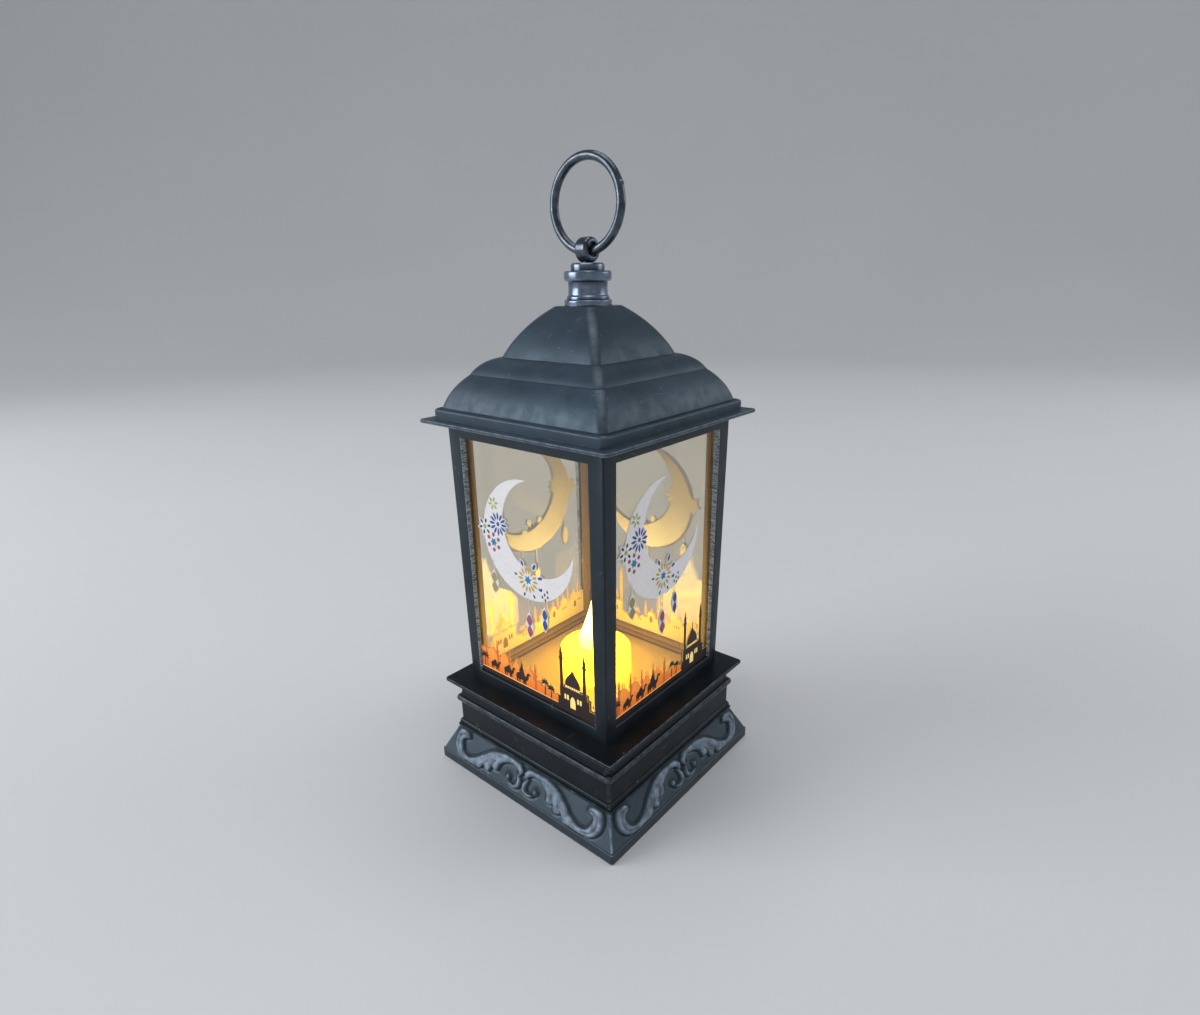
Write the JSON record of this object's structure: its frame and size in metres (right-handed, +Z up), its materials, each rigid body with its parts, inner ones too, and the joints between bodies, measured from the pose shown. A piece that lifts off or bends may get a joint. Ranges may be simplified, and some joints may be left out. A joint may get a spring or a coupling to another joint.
{
  "type": "lantern",
  "caption": "Square table lantern with stepped roof, hanging ring, clear window panels, scrolled plinth and an electric candle lit from cells in its base.",
  "frame": {"origin": "middle of the foot, on the surface that the lantern stands on", "axes": "+Z up along the lantern's axis, +X to the right window and -Y to the front window"},
  "size_m": [0.056, 0.056, 0.1378],
  "materials": {
    "black_plastic": "satin moulded black plastic",
    "grey_plastic": "satin dark grey plastic",
    "gunmetal": "glossy gunmetal plating",
    "clear_acrylic": "clear polished acrylic sheet",
    "candle_plastic": "translucent ivory plastic",
    "flame_plastic": "frosted translucent plastic",
    "lamp_epoxy": "clear lamp resin with tinned leads",
    "steel": "zinc plated steel",
    "cell_steel": "nickel plated cell can",
    "tan_card": "matt tan card",
    "switch_black": "black switch plastic",
    "wire_pvc": "PVC insulated wire"
  },
  "bodies": {
    "lantern": {"plinth": "black_plastic", "base_tier": "black_plastic", "body_frame": "black_plastic", "eave_frame": "black_plastic", "roof": "black_plastic", "finial": "grey_plastic", "finial_washer": "steel", "finial_screw": "steel", "eye_screw": "gunmetal", "window_panel_front": "clear_acrylic", "window_panel_right": "clear_acrylic", "window_panel_back": "clear_acrylic", "window_panel_left": "clear_acrylic", "floor_card": "tan_card", "candle_body": "candle_plastic", "flame": "flame_plastic", "lamp": "lamp_epoxy", "base_plate": "black_plastic", "base_screws": "steel", "button_cells": "cell_steel", "contact_plate": "steel", "contact_leaf": "steel", "switch_body": "switch_black", "hook_up_wires": "wire_pvc"},
    "ring": {"hanging_ring": "gunmetal"},
    "door": {"battery_door": "black_plastic", "door_screw": "steel"},
    "switch": {"switch_knob": "switch_black"}
  },
  "joints": [
    {"name": "ring_swing", "type": "hinge", "parent": "lantern", "child": "ring", "pos_m": [0, 0, 0.11927], "axis": [1, 0, 0], "range_deg": [-140, 140]},
    {"name": "door_tip", "type": "hinge", "parent": "lantern", "child": "door", "pos_m": [-0.00945, 0, 0.0014], "axis": [0, 1, 0], "range_deg": [0, 70]},
    {"name": "switch_slide", "type": "slide", "parent": "lantern", "child": "switch", "axis": [1, 0, 0], "range_m": [-0.002, 0]}
  ]
}
